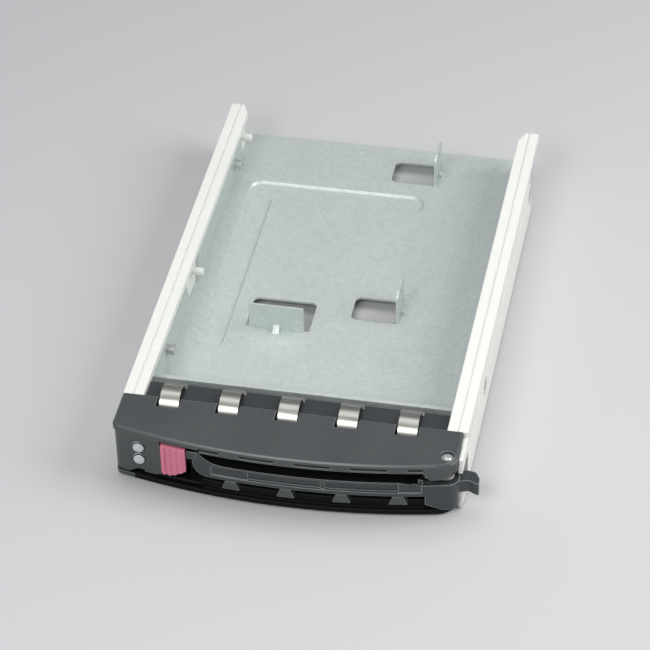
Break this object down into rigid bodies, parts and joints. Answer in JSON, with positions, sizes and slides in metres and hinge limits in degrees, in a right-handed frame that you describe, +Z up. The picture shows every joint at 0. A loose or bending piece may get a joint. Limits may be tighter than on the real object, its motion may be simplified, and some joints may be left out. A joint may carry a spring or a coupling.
{
  "type": "drive bay adapter",
  "caption": "Hot-swap drive tray with white side rails, a bowed bezel with swing lever and slide latch, and a folded steel pan that carries a smaller drive.",
  "frame": {"origin": "on the tray's flat underside, midway between the rails, below the outer face of the pan's front wall", "axes": "+X to the right seen from the front, +Y from the bezel to the rear, +Z up"},
  "size_m": [0.1154, 0.186, 0.0228],
  "materials": {
    "bezel_plastic": "fine moulded texture, dark grey",
    "lever_plastic": "satin, dark grey",
    "button_plastic": "satin, dusky pink red",
    "light_pipe_plastic": "milky clear",
    "rail_plastic": "satin, warm white",
    "pan_steel": "galvanised, faint spangle",
    "spring_steel": "satin",
    "screw_steel": "bright"
  },
  "bodies": {
    "tray": {"bezel": "bezel_plastic", "lever_pivot_pin": "screw_steel", "lever_spring": "spring_steel", "button_spring": "spring_steel", "upper_light_pipe": "light_pipe_plastic", "lower_light_pipe": "light_pipe_plastic", "adapter_pan": "pan_steel", "left_rail": "rail_plastic", "right_rail": "rail_plastic", "pan_screws": "screw_steel", "rail_screws": "screw_steel", "spring_finger_1": "spring_steel", "spring_finger_2": "spring_steel", "spring_finger_3": "spring_steel", "spring_finger_4": "spring_steel", "spring_finger_5": "spring_steel"},
    "lever": {"lever": "lever_plastic"},
    "release_button": {"release_button": "button_plastic"}
  },
  "joints": [
    {"name": "lever_swing", "type": "hinge", "parent": "tray", "child": "lever", "pos_m": [0.0503, -0.0299, 0.0084], "axis": [0, 0, 1], "range_deg": [0, 50]},
    {"name": "release_button_slide", "type": "slide", "parent": "tray", "child": "release_button", "axis": [-1, 0, 0], "range_m": [0, 0.0022], "stiffness_N_per_m": 300, "deforming": ["button_spring"]}
  ]
}
